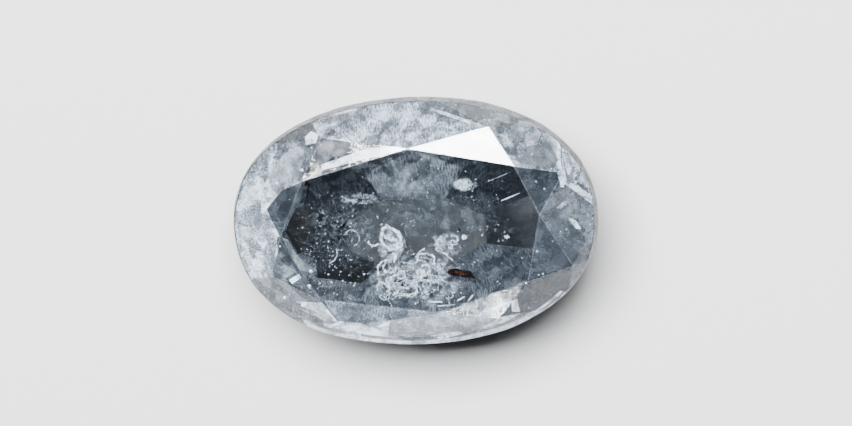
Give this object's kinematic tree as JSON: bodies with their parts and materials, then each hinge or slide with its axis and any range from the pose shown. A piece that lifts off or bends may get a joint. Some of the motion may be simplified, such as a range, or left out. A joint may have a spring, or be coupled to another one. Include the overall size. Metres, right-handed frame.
{
  "type": "faceted oval topaz gemstone",
  "caption": "Colourless oval cut topaz with a faceted crown, thick girdle, two-tier pavilion and a small flat culet that it rests on.",
  "frame": {"origin": "on the resting flat, under the middle of the girdle", "axes": "+X along the long axis of the oval, +Z square out of the table"},
  "size_m": [0.012, 0.0082, 0.0047],
  "materials": {
    "polished_topaz": "polished facets, ground girdle and culet, natural white veils and a rust speck inside"
  },
  "bodies": {
    "root": {"topaz": "polished_topaz"}
  },
  "joints": []
}
